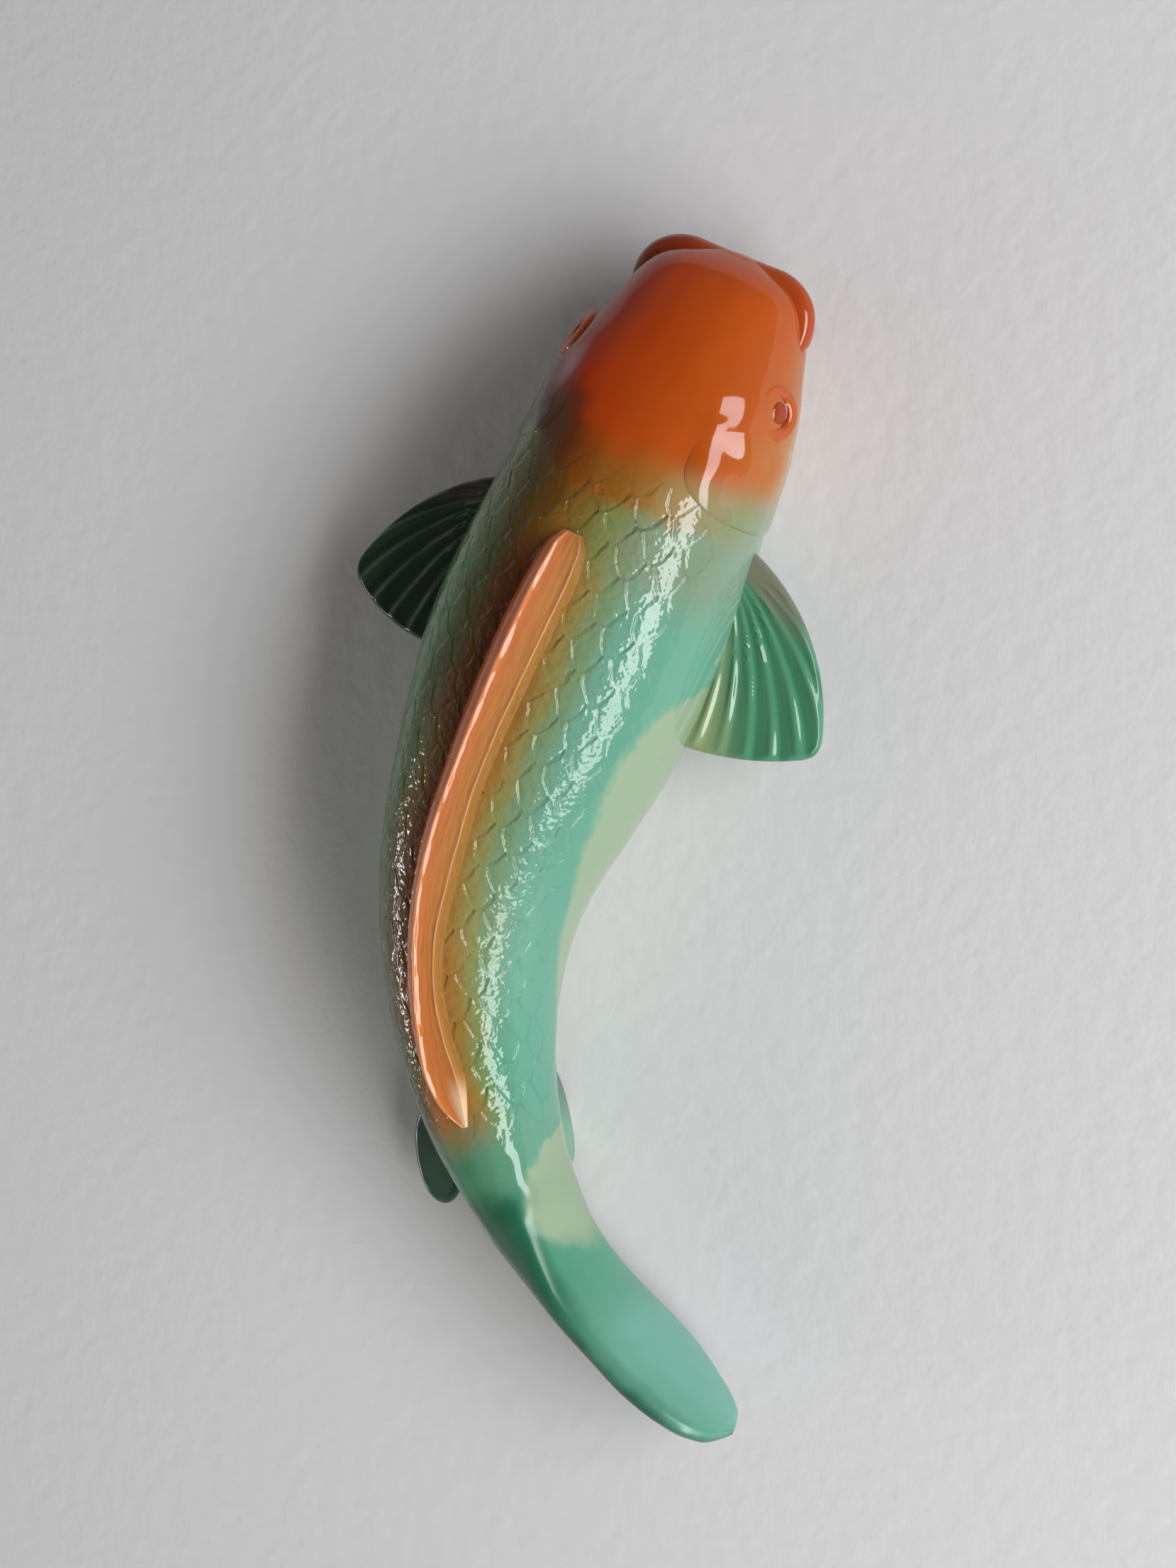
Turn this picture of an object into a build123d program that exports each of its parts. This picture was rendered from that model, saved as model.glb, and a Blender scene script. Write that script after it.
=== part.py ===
from build123d import *
import os
from math import copysign, cos, radians, sin, tau

os.makedirs("parts", exist_ok=True)

# Glazed ceramic koi, resting on its belly with its body bent to its right.
# Millimetres. +Y is the way the fish swims, +X its right, +Z up, and Z = 0 the table.

# Body: a hollow casting along a straight fore-body, one bend and a straight tail
snout_side = 29.1
snout_ahead = 95.87
heading = -24.24
bend_turn = 71.84
body_length = 172.0
body_width = 48.4
body_height = 38.3
wall = 4.0
foot_level = 0
seam_height = 7.0
belly_share = 0.46
squareness = 2.3
ring_points = 12

# How much of the whole fish is straight before the bend, and how much is bent
fore_share = 0.4545
bend_share = 0.42

# Along the body, over the half width, the back and the belly, with the lean in degrees
body_shares = [
    (0.006, 0.176, 0.505, 0.248, 0),
    (0.018, 0.242, 0.570, 0.193, 0),
    (0.035, 0.288, 0.632, 0.135, 0),
    (0.060, 0.325, 0.700, 0.088, 0),
    (0.090, 0.360, 0.765, 0.050, 0),
    (0.120, 0.398, 0.820, 0.026, 0),
    (0.160, 0.430, 0.867, 0.004, 0),
    (0.210, 0.442, 0.911, -0.013, 0),
    (0.270, 0.463, 0.956, -0.034, 0),
    (0.340, 0.490, 0.985, -0.047, 0),
    (0.410, 0.500, 1.000, -0.052, 0),
    (0.480, 0.481, 0.997, -0.052, 0),
    (0.550, 0.437, 0.974, -0.047, 0),
    (0.620, 0.386, 0.932, -0.034, 0),
    (0.690, 0.337, 0.880, -0.012, 0),
    (0.760, 0.295, 0.822, 0.014, 0),
    (0.830, 0.255, 0.762, 0.043, 0),
    (0.895, 0.219, 0.710, 0.068, 1),
    (0.950, 0.182, 0.660, 0.087, 5),
    (1.000, 0.153, 0.621, 0.104, 10),
]
hollow_first = 2
hollow_last = 17

# Vent hole in the foot, that lets the kiln gases out
vent_radius = 3.0
vent_share = 0.407

# Tail: a solid paddle, with a peg let into the end of the body
tail_length = 48.0
tail_height = 20.0
tail_peg_length = 7.0
tail_peg_height = 9.0
tail_peg_width = 5.0

# Along the tail, over half its thickness, half its height and its middle, with the lean
tail_shares = [
    (0.12, 0.290, 0.490, 0.670, 14),
    (0.28, 0.200, 0.500, 0.640, 19),
    (0.48, 0.160, 0.500, 0.620, 22),
    (0.68, 0.140, 0.500, 0.620, 22),
    (0.82, 0.120, 0.430, 0.620, 21),
    (0.91, 0.100, 0.345, 0.600, 20),
    (0.965, 0.075, 0.235, 0.570, 20),
    (1.00, 0.035, 0.100, 0.540, 20),
]

# Every fin is let this deep into the wall of the shell
tenon = 2.5

# Dorsal fin: a low leaf-shaped ridge along the back, between two shares of the body's length
dorsal_start_share = 0.302
dorsal_end_share = 0.895
dorsal_width = 6.6
dorsal_height = 3.4
dorsal_flare_left = 1.3
dorsal_flare_right = 0.5

# Along the ridge, over its width and its height
dorsal_shares = [
    (0.00, 0.68, 0.35),
    (0.04, 0.78, 0.90),
    (0.14, 0.82, 1.00),
    (0.24, 1.00, 1.00),
    (0.38, 1.00, 1.00),
    (0.57, 0.74, 1.00),
    (0.72, 0.52, 1.00),
    (0.88, 0.78, 0.90),
    (0.94, 0.74, 0.65),
    (1.00, 0.12, 0.10),
]

# Pectoral fins: a fan each, set level behind the gills, the left one further back
pectoral_gap = 1.4
pectoral_setback = 4.0
pectoral_height_share = 0.379
pectoral_root_depth = 4.7
pectoral_root_right = 35.0
pectoral_root_left = 32.0
pectoral_droop = 5.0
pectoral_span = 26.0
pectoral_chord = 35.0
pectoral_lead = 19.0
pectoral_thickness = 2.4
pectoral_corner = 3.0
fin_edge = 0.7

# Over the span and along the chord, from the front of the root round to its rear
pectoral_shares = [(0.66, 0.30), (1.00, 0.78), (0.54, 0.94)]

# Pelvic fins: a small lobe each, the right one folded down and the left one spread
pelvic_share = 0.851
pelvic_setback = 2.2
pelvic_height_share = 0.266
pelvic_depth_right = 2.9
pelvic_depth_left = 1.2
pelvic_droop_right = 96.0
pelvic_droop_left = 20.0
pelvic_length = 18.0
pelvic_width = 10.8
pelvic_out = 4.5
pelvic_back = 9.0
pelvic_splay = 8.0
pelvic_thickness = 2.0

# Eyes: a domed pellet each, on a peg pressed into the head
eye_share = 0.128
eye_height_share = 0.548
eye_sink = 0.9
eye_raise = 29.0
eye_toe_in = 18.0
eye_radius = 4.7
eye_dome = 1.9
eye_peg_radius = 2.2
eye_peg_depth = 2.2
dome_share = 0.9

# Gill covers: a curved plate each, laid on the cheek behind the eye
gill_gap = 0.9
gill_height_share = 0.431
gill_half_length = 7.0
gill_half_height = 12.5
gill_thickness = 0.9
gill_first = 4
gill_last = 10

# Lips: two rolls of clay round the snout, one above the mouth and one below
upper_lip_radius = 2.4
upper_lip_share = 0.381
mouth_gap = 1.0
lower_lip_radius = 2.0
lip_dive = 7.6
lip_front = 2.7
lip_back = 19.0
lip_corner = 7.5


# Centre line of the body on the table: straight, one bend, straight
full_length = body_length + tail_length
start_tangent = Vector(sin(radians(heading)), -cos(radians(heading)), 0)
start_point = Vector(snout_side, snout_ahead, 0)
bend_start = start_point + start_tangent * fore_share * full_length
bend_radius = bend_share * full_length / radians(bend_turn)
with BuildLine() as spine:
    Line(start_point, bend_start)
    bend = JernArc(bend_start, start_tangent, bend_radius, bend_turn)
    straight_tail = (1 - fore_share - bend_share) * full_length
    Line(bend @ 1, (bend @ 1) + (bend % 1) * straight_tail)
spine_wire = spine.wire()

# Stations along the centre line, from the snout: each piece clears the one before it
eye_station = eye_share * body_length
gill_station = eye_station + eye_radius + gill_gap + gill_half_length
pectoral_station = gill_station + gill_half_length + pectoral_gap + pectoral_lead
pelvic_station = pelvic_share * body_length
vent_station = vent_share * body_length


def across(station, side=0, height=0):
    """Plane across the body: x to the fish's right, y up, z towards the tail."""
    along = spine_wire.tangent_at(station, position_mode=PositionMode.LENGTH)
    to_right = Vector(-along.Y, along.X, 0)
    place = spine_wire.position_at(station, position_mode=PositionMode.LENGTH)
    place = place + to_right * side + Vector(0, 0, height)
    return Plane(origin=place, x_dir=to_right, z_dir=along)


def ring(station, half_width, top, bottom, lean, inset=0):
    """Closed, slightly squared oval across the body, drawn in by the inset."""
    middle = bottom + belly_share * (top - bottom)
    points = []
    for step in range(ring_points):
        turn = tau * step / ring_points
        side = copysign(abs(cos(turn)) ** (2 / squareness), cos(turn))
        rise = copysign(abs(sin(turn)) ** (2 / squareness), sin(turn))
        half_height = top - middle if rise > 0 else middle - bottom
        point = Vector((half_width - inset) * side, (half_height - inset) * rise, 0)
        points.append(point.rotate(Axis.Z, lean) + Vector(0, middle, 0))
    with BuildSketch(across(station)) as outline:
        with BuildLine():
            Spline(*points, periodic=True)
        make_face()
    return outline.sketch


def body_rings(inset=0, first=0, last=len(body_shares)):
    """Rings of the body between two rows of its table."""
    rings = []
    for along_share, wide, back, belly, lean in body_shares[first:last]:
        rings.append(
            ring(
                along_share * body_length,
                wide * body_width,
                back * body_height,
                belly * body_height,
                lean,
                inset,
            )
        )
    return rings


def section_sizes(station):
    """Half width, back height and belly height there, straight between rows of the table."""
    share = station / body_length
    for near, far in zip(body_shares, body_shares[1:]):
        if share <= far[0] or far is body_shares[-1]:
            part_way = (share - near[0]) / (far[0] - near[0])
            wide, back, belly = [low + (high - low) * part_way for low, high in zip(near[1:4], far[1:4])]
            return wide * body_width, back * body_height, belly * body_height


def flank_reach(station, height):
    """How far the flank stands out from the centre line at that height."""
    half_width, back, belly = section_sizes(station)
    middle = belly + belly_share * (back - belly)
    half_height = back - middle if height > middle else middle - belly
    return half_width * (1 - abs((height - middle) / half_height) ** squareness) ** (1 / squareness)


def fin_plane(station, side, reach, height, droop):
    """Plane of a side fin: x outwards and down along it, y towards the snout."""
    section = across(station, side * reach, height)
    outwards = section.x_dir * side * cos(radians(droop)) - Vector(0, 0, sin(radians(droop)))
    return Plane(origin=section.origin, x_dir=outwards, z_dir=outwards.cross(-section.z_dir))


# Solids that the pieces are cut to
seam_plane = Plane.XY.offset(seam_height)
table_plane = Plane.XY.offset(foot_level)

with BuildPart() as body_outside:
    loft(sections=body_rings())
    split(bisect_by=table_plane, keep=Keep.TOP)

with BuildPart() as body_hollow:
    loft(sections=body_rings(wall, hollow_first, hollow_last))
    split(bisect_by=Plane.XY.offset(foot_level + wall), keep=Keep.TOP)

with BuildPart() as tenon_limit:
    loft(sections=body_rings(tenon))


# Tail fin
with BuildPart() as tail_fin:
    last = body_shares[-1]
    tail_rings = body_rings(0, len(body_shares) - 1)
    for along_share, thick, tall, centre, lean in tail_shares:
        tail_rings.append(
            ring(
                body_length + along_share * tail_length,
                thick * tail_height,
                (centre + tall) * tail_height,
                (centre - tall) * tail_height,
                lean,
            )
        )
    loft(sections=tail_rings)
    peg_height = (last[2] + last[3]) / 2 * body_height
    with BuildSketch(across(body_length, 0, peg_height)):
        Ellipse(tail_peg_width / 2, tail_peg_height / 2, rotation=last[4])
    extrude(amount=-tail_peg_length)
tail_fin.part.label = "tail_fin"


# Dorsal fin
with BuildPart() as dorsal_fin:
    ridge_rings = []
    for along_share, wide, tall in dorsal_shares:
        share = dorsal_start_share + along_share * (dorsal_end_share - dorsal_start_share)
        station = share * body_length
        back = section_sizes(station)[1]
        rim = wide * dorsal_width / 2
        left_foot = -rim - dorsal_flare_left * tall
        right_foot = rim + dorsal_flare_right * tall
        with BuildSketch(across(station)) as ridge:
            with BuildLine():
                Polyline(
                    (left_foot, back - wall),
                    (right_foot, back - wall),
                    (right_foot, back),
                    (rim, back + tall * dorsal_height),
                    (-rim, back + tall * dorsal_height),
                    (left_foot, back),
                    close=True,
                )
            make_face()
        ridge_rings.append(ridge.sketch)
    loft(sections=ridge_rings)
    add(tenon_limit.part, mode=Mode.SUBTRACT)
dorsal_fin.part.label = "dorsal_fin"


def pectoral_fin(side, station, root_length):
    """Fan-shaped fin on one side, with its root let into the shell."""
    height = pectoral_height_share * body_height
    reach = flank_reach(station, height) - pectoral_root_depth
    root = fin_plane(station, side, reach, height, pectoral_droop)
    front = (0, pectoral_lead)
    rear = (0, pectoral_lead - root_length)
    lead, tip, trail = [
        (out * pectoral_span, pectoral_lead - back * pectoral_chord)
        for out, back in pectoral_shares
    ]
    with BuildPart() as fin:
        with BuildSketch(root) as fan:
            with BuildLine():
                ThreePointArc(front, lead, tip)
                ThreePointArc(tip, trail, rear)
                Line(rear, front)
            make_face()
            fillet(fan.vertices().sort_by(Axis.X)[-1], pectoral_corner)
        extrude(amount=pectoral_thickness / 2, both=True)
        flats = fin.faces().filter_by(Axis(root.origin, root.z_dir))
        fillet(flats.edges(), fin_edge)
        add(tenon_limit.part, mode=Mode.SUBTRACT)
    return fin


left_station = pectoral_station + pectoral_setback
pectoral_fin_right = pectoral_fin(1, pectoral_station, pectoral_root_right)
pectoral_fin_left = pectoral_fin(-1, left_station, pectoral_root_left)
pectoral_fin_right.part.label = "pectoral_fin_right"
pectoral_fin_left.part.label = "pectoral_fin_left"


def pelvic_fin(side, station, depth, droop):
    """Small lobed fin on one side, with its root let into the shell."""
    height = pelvic_height_share * body_height
    root = fin_plane(station, side, flank_reach(station, height) - depth, height, droop)
    with BuildPart() as fin:
        with BuildSketch(root):
            with Locations((pelvic_out, -pelvic_back)):
                Ellipse(pelvic_width / 2, pelvic_length / 2, rotation=pelvic_splay)
        extrude(amount=pelvic_thickness / 2, both=True)
        flats = fin.faces().filter_by(Axis(root.origin, root.z_dir))
        fillet(flats.edges(), fin_edge)
        add(tenon_limit.part, mode=Mode.SUBTRACT)
    return fin


left_station = pelvic_station + pelvic_setback
pelvic_fin_right = pelvic_fin(1, pelvic_station, pelvic_depth_right, pelvic_droop_right)
pelvic_fin_left = pelvic_fin(-1, left_station, pelvic_depth_left, pelvic_droop_left)
pelvic_fin_right.part.label = "pelvic_fin_right"
pelvic_fin_left.part.label = "pelvic_fin_left"


def eye(side):
    """Domed pellet on one side of the head, with its peg in the shell."""
    height = eye_height_share * body_height
    reach = flank_reach(eye_station, height) - eye_sink
    section = across(eye_station, side * reach, height)
    level = section.x_dir * side * cos(radians(eye_toe_in)) - section.z_dir * sin(radians(eye_toe_in))
    outwards = level * cos(radians(eye_raise)) + Vector(0, 0, sin(radians(eye_raise)))
    seat = Plane(origin=section.origin, z_dir=outwards)
    with BuildPart() as pellet:
        with BuildSketch(seat.offset(-eye_dome)):
            Circle(eye_radius)
        extrude(amount=2 * eye_dome)
        rim = pellet.edges().filter_by(GeomType.CIRCLE).sort_by(Axis(seat.origin, outwards))[-1]
        fillet(rim, eye_dome * dome_share)
        add(body_outside.part, mode=Mode.SUBTRACT)
        with BuildSketch(seat.offset(-eye_peg_depth)):
            Circle(eye_peg_radius)
        extrude(amount=eye_peg_depth + eye_dome / 2)
    return pellet


eye_right = eye(1)
eye_left = eye(-1)
eye_right.part.label = "eye_right"
eye_left.part.label = "eye_left"


def gill_cover(side):
    """Curved plate that lies on one cheek."""
    section = across(gill_station, 0, gill_height_share * body_height)
    cheek = Plane(origin=section.origin, x_dir=section.z_dir, z_dir=section.x_dir * side)
    with BuildPart() as cover:
        loft(sections=body_rings(-gill_thickness, gill_first, gill_last))
        add(body_outside.part, mode=Mode.SUBTRACT)
        with BuildSketch(cheek):
            Ellipse(gill_half_length, gill_half_height)
        extrude(amount=body_width, mode=Mode.INTERSECT)
    return cover


gill_cover_right = gill_cover(1)
gill_cover_left = gill_cover(-1)
gill_cover_right.part.label = "gill_cover_right"
gill_cover_left.part.label = "gill_cover_left"


def lip(radius, height):
    """Roll of clay bent round the snout and pressed against it, that dives into the cheeks."""
    reach = flank_reach(lip_dive, height)
    snout = across(0, 0, height)
    level = Plane(origin=snout.origin, x_dir=snout.x_dir, z_dir=(0, 0, 1))
    with BuildPart() as roll:
        with BuildLine(level) as path:
            FilletPolyline(
                (reach, -lip_back),
                (reach, -lip_front),
                (-reach, -lip_front),
                (-reach, -lip_back),
                radius=lip_corner,
            )
        with BuildSketch(Plane(origin=path.line @ 0, z_dir=path.line % 0)):
            Circle(radius)
        sweep(path=path.line)
        add(body_outside.part, mode=Mode.SUBTRACT)
    return roll


upper_lip_height = upper_lip_share * body_height
lower_lip_height = upper_lip_height - upper_lip_radius - mouth_gap - lower_lip_radius
upper_lip = lip(upper_lip_radius, upper_lip_height)
lower_lip = lip(lower_lip_radius, lower_lip_height)
upper_lip.part.label = "upper_lip"
lower_lip.part.label = "lower_lip"


# Shell: the casting, cut at the seam, with a socket for every piece let into it
let_in = [tail_fin, dorsal_fin, pectoral_fin_right, pectoral_fin_left]
let_in += [pelvic_fin_right, pelvic_fin_left, eye_right, eye_left]

with BuildPart() as casting:
    add(body_outside.part)
    add(body_hollow.part, mode=Mode.SUBTRACT)
    for piece in let_in:
        add(piece.part, mode=Mode.SUBTRACT)

with BuildPart() as back_shell:
    add(casting.part)
    split(bisect_by=seam_plane, keep=Keep.TOP)
back_shell.part.label = "back_shell"

with BuildPart() as belly_shell:
    add(casting.part)
    split(bisect_by=seam_plane, keep=Keep.BOTTOM)
    vent = across(vent_station).origin
    with BuildSketch(Plane(origin=vent, z_dir=(0, 0, 1))):
        Circle(vent_radius)
    extrude(amount=seam_height, mode=Mode.SUBTRACT)
belly_shell.part.label = "belly_shell"


export_step(back_shell.part, "parts/back_shell.step")
export_step(belly_shell.part, "parts/belly_shell.step")
export_step(tail_fin.part, "parts/tail_fin.step")
export_step(dorsal_fin.part, "parts/dorsal_fin.step")
export_step(pectoral_fin_right.part, "parts/pectoral_fin_right.step")
export_step(pectoral_fin_left.part, "parts/pectoral_fin_left.step")
export_step(pelvic_fin_right.part, "parts/pelvic_fin_right.step")
export_step(pelvic_fin_left.part, "parts/pelvic_fin_left.step")
export_step(eye_right.part, "parts/eye_right.step")
export_step(eye_left.part, "parts/eye_left.step")
export_step(gill_cover_right.part, "parts/gill_cover_right.step")
export_step(gill_cover_left.part, "parts/gill_cover_left.step")
export_step(upper_lip.part, "parts/upper_lip.step")
export_step(lower_lip.part, "parts/lower_lip.step")
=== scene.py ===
import math
from functools import partial

import bmesh
import bpy
import numpy as np
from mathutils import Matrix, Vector


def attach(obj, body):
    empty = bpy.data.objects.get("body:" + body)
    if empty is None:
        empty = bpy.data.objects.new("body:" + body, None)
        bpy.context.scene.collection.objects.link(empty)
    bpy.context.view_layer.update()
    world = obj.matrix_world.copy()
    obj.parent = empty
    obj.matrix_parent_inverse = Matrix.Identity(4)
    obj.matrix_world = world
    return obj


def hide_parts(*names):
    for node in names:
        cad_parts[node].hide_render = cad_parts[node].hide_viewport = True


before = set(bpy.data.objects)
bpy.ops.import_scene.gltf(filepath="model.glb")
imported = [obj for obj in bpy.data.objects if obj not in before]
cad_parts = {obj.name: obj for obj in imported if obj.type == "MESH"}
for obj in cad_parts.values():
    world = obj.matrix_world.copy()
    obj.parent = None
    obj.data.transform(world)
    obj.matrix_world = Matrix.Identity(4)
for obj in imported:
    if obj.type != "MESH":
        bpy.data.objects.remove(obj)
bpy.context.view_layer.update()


# The camera hangs over the ornament and leans towards the fish's right side, as someone
# looks down at it on a table. The snout points up the picture.
camera_lean = math.radians(21)
camera_distance = 0.42
camera_aim = Vector((0.00323, 0.00903, 0.018))
picture_height_px = 2212
focal_length_px = 3570
film_height = 24.0
nearest_seen = 0.01


def put(name, data):
    """New object in the scene, with its mesh, light or camera."""
    placed = bpy.data.objects.new(name, data)
    bpy.context.scene.collection.objects.link(placed)
    return placed


camera = put("camera", bpy.data.cameras.new("camera"))
camera.data.sensor_fit = "AUTO"
camera.data.sensor_width = film_height
camera.data.lens = film_height * focal_length_px / picture_height_px
camera.data.clip_start = nearest_seen
camera.location = camera_aim + camera_distance * Vector((math.sin(camera_lean), 0, math.cos(camera_lean)))
camera.rotation_euler = (0, camera_lean, 0)
bpy.context.scene.camera = camera
bpy.context.scene.view_settings.view_transform = "Standard"


# The table is a pale painted board that fades into the backdrop. It is lit by one soft window
# on the fish's right, a small far lamp on its left and the pale room.
light_spread = math.radians(120)
light_colour = (0.985, 0.99, 1.0)
# Degrees round from the fish's right and up, distance and size in metres, and watts
for name, turn, rise, distance, width, height, power in (
    ("window", -17, 34, 0.95, 1.3, 0.365, 6.0),
    ("far lamp", 193, 9, 1.5, 0.6, 0.1, 1.25),
):
    turn, rise = math.radians(turn), math.radians(rise)
    direction = Vector((math.cos(rise) * math.cos(turn), math.cos(rise) * math.sin(turn), math.sin(rise)))
    light = put(name, bpy.data.lights.new(name, "AREA"))
    light.data.shape = "RECTANGLE"
    light.data.size = width
    light.data.size_y = height
    light.data.energy = power
    light.data.color = light_colour
    light.data.spread = light_spread
    light.location = camera_aim + distance * direction
    light.rotation_euler = direction.to_track_quat("Z", "Y").to_euler()


class Value:
    """A value that shader nodes work out. A sum or product with it adds a Math node."""

    def __init__(self, socket):
        self.socket = socket
        self.tree = socket.id_data

    def __add__(self, other):
        return maths("ADD", self, other)

    def __sub__(self, other):
        return maths("SUBTRACT", self, other)

    def __rsub__(self, other):
        return maths("SUBTRACT", other, self)

    def __mul__(self, other):
        return maths("MULTIPLY", self, other)

    def __truediv__(self, other):
        return maths("DIVIDE", self, other)

    def __neg__(self):
        return maths("MULTIPLY", self, -1.0)

    def __abs__(self):
        return maths("ABSOLUTE", self)

    def __gt__(self, other):
        return maths("GREATER_THAN", self, other)

    def __lt__(self, other):
        return maths("LESS_THAN", self, other)

    __radd__ = __add__
    __rmul__ = __mul__


def feed(tree, node, sockets):
    """Give each named socket of a node a plain value, or the output of another node."""
    for name, value in dict(sockets).items():
        value = value.socket if isinstance(value, Value) else value
        if isinstance(value, bpy.types.NodeSocket):
            tree.links.new(value, node.inputs[name])
        else:
            node.inputs[name].default_value = value


def make(tree, kind, sockets=(), **settings):
    """One new shader node, with its settings and what feeds it."""
    node = tree.nodes.new(kind)
    for name, value in settings.items():
        setattr(node, name, value)
    feed(tree, node, sockets)
    return node


def maths(operation, *values):
    """Outcome of one Math node."""
    tree = next(value.tree for value in values if isinstance(value, Value))
    return Value(make(tree, "ShaderNodeMath", enumerate(values), operation=operation).outputs[0])


def fade(value, starts, ends, low=0.0, high=1.0, shape="SMOOTHSTEP"):
    """Change from low to high while a value runs from one level to another."""
    sockets = {"Value": value, "From Min": starts, "From Max": ends, "To Min": low, "To Max": high}
    return Value(make(value.tree, "ShaderNodeMapRange", sockets, interpolation_type=shape).outputs[0])


def pick(choice, first, second):
    """The first value where the choice is 1, and the second where it is 0."""
    return Value(make(choice.tree, "ShaderNodeMix", {0: choice, 2: second, 3: first}).outputs[0])


def noise(tree, scale, detail, place=None):
    """Random cloud from 0 to 1, over the piece itself unless another place is given."""
    if place is None:
        place = make(tree, "ShaderNodeTexCoord").outputs["Object"]
    cloud = make(tree, "ShaderNodeTexNoise", {"Vector": place, "Scale": scale, "Detail": detail})
    return Value(cloud.outputs["Fac"])


def colour(red, green, blue):
    """Colour from display values of 0 to 255, as the linear values that a shader takes."""
    display = np.array((red, green, blue)) / 255
    return (*np.where(display > 0.04045, ((display + 0.055) / 1.055) ** 2.4, display / 12.92).tolist(), 1.0)


def new_material(name):
    """Empty material and its node tree."""
    material = bpy.data.materials.new(name)
    material.use_nodes = True
    return material, material.node_tree


room_colour = (1.0, 0.97, 0.9, 1.0)
backdrop_light = 0.6
ceiling_reach = (0.2, 0.82)
ceiling_lights = (0.4, 0.09)
side_reach = (-0.7, 0.7)
side_shares = (1.5, 0.8)
snout_reach = (0.1, 0.8)
snout_shares = (1.0, 0.4)
room = bpy.data.worlds.new("room")
room.use_nodes = True
tree = room.node_tree
direction = make(tree, "ShaderNodeTexCoord").outputs["Generated"]
to_side, to_snout, upwards = map(Value, make(tree, "ShaderNodeSeparateXYZ", {"Vector": direction}).outputs)
room_light = fade(upwards, *ceiling_reach, *ceiling_lights)
room_light *= fade(to_side, *side_reach, *side_shares, "LINEAR")
room_light *= fade(to_snout, *snout_reach, *snout_shares, "LINEAR")
seen = Value(make(tree, "ShaderNodeLightPath").outputs["Is Camera Ray"])
room_light = pick(seen, backdrop_light, room_light)
feed(tree, tree.nodes["Background"], {"Color": room_colour, "Strength": room_light})
bpy.context.scene.world = room

half_table = 2.0
table_drop = 0.00005
board_grain = 260.0
board_depth = 0.0006
board_bumps = 0.35
board_roughness = 0.8
board_fades = (0.25, 0.8)
table_mesh = bpy.data.meshes.new("table")
corners = [(x * half_table, y * half_table, -table_drop) for x, y in ((-1, -1), (1, -1), (1, 1), (-1, 1))]
table_mesh.from_pydata(corners, [], [(0, 1, 2, 3)])
table = put("table", table_mesh)
board, tree = new_material("painted board")
shader = tree.nodes["Principled BSDF"]
grain = {"Strength": board_bumps, "Distance": board_depth, "Height": noise(tree, board_grain, detail=4.0)}
grain = make(tree, "ShaderNodeBump", grain).outputs[0]
feed(tree, shader, {"Normal": grain, "Base Color": colour(224, 223, 225), "Roughness": board_roughness})
place = make(tree, "ShaderNodeTexCoord").outputs["Object"]
away = Value(make(tree, "ShaderNodeVectorMath", {0: place}, operation="LENGTH").outputs["Value"])
seen = Value(make(tree, "ShaderNodeLightPath").outputs["Is Camera Ray"])
far_board = make(tree, "ShaderNodeEmission", {"Color": room_colour, "Strength": backdrop_light}).outputs[0]
faded = {0: fade(away, *board_fades) * seen, 1: shader.outputs[0], 2: far_board}
feed(tree, tree.nodes["Material Output"], {"Surface": make(tree, "ShaderNodeMixShader", faded).outputs[0]})
table_mesh.materials.append(board)


# The back shell is the upper half of the hollow slip casting, from the seam up. Its back and
# flanks carry rows of carved scales, softened by a thick glaze, and the head is smooth.
body_length = 0.172
body_width = 0.0484
body_height = 0.0383
tail_length = 0.048
tail_height = 0.02
snout_side = 0.0291
snout_ahead = 0.09587
heading = math.radians(-24.24)
bend_turn = math.radians(71.84)
fore_share = 0.4545
bend_share = 0.42
wall = 0.004
seam_height = 0.007
squareness = 2.3
belly_share = 0.46

# Along the body, over the half width, the back and the belly, with the lean in degrees
body_shares = [
    (0.006, 0.176, 0.505, 0.248, 0),
    (0.018, 0.242, 0.570, 0.193, 0),
    (0.035, 0.288, 0.632, 0.135, 0),
    (0.060, 0.325, 0.700, 0.088, 0),
    (0.090, 0.360, 0.765, 0.050, 0),
    (0.120, 0.398, 0.820, 0.026, 0),
    (0.160, 0.430, 0.867, 0.004, 0),
    (0.210, 0.442, 0.911, -0.013, 0),
    (0.270, 0.463, 0.956, -0.034, 0),
    (0.340, 0.490, 0.985, -0.047, 0),
    (0.410, 0.500, 1.000, -0.052, 0),
    (0.480, 0.481, 0.997, -0.052, 0),
    (0.550, 0.437, 0.974, -0.047, 0),
    (0.620, 0.386, 0.932, -0.034, 0),
    (0.690, 0.337, 0.880, -0.012, 0),
    (0.760, 0.295, 0.822, 0.014, 0),
    (0.830, 0.255, 0.762, 0.043, 0),
    (0.895, 0.219, 0.710, 0.068, 1),
    (0.950, 0.182, 0.660, 0.087, 5),
    (1.000, 0.153, 0.621, 0.104, 10),
]

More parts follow.
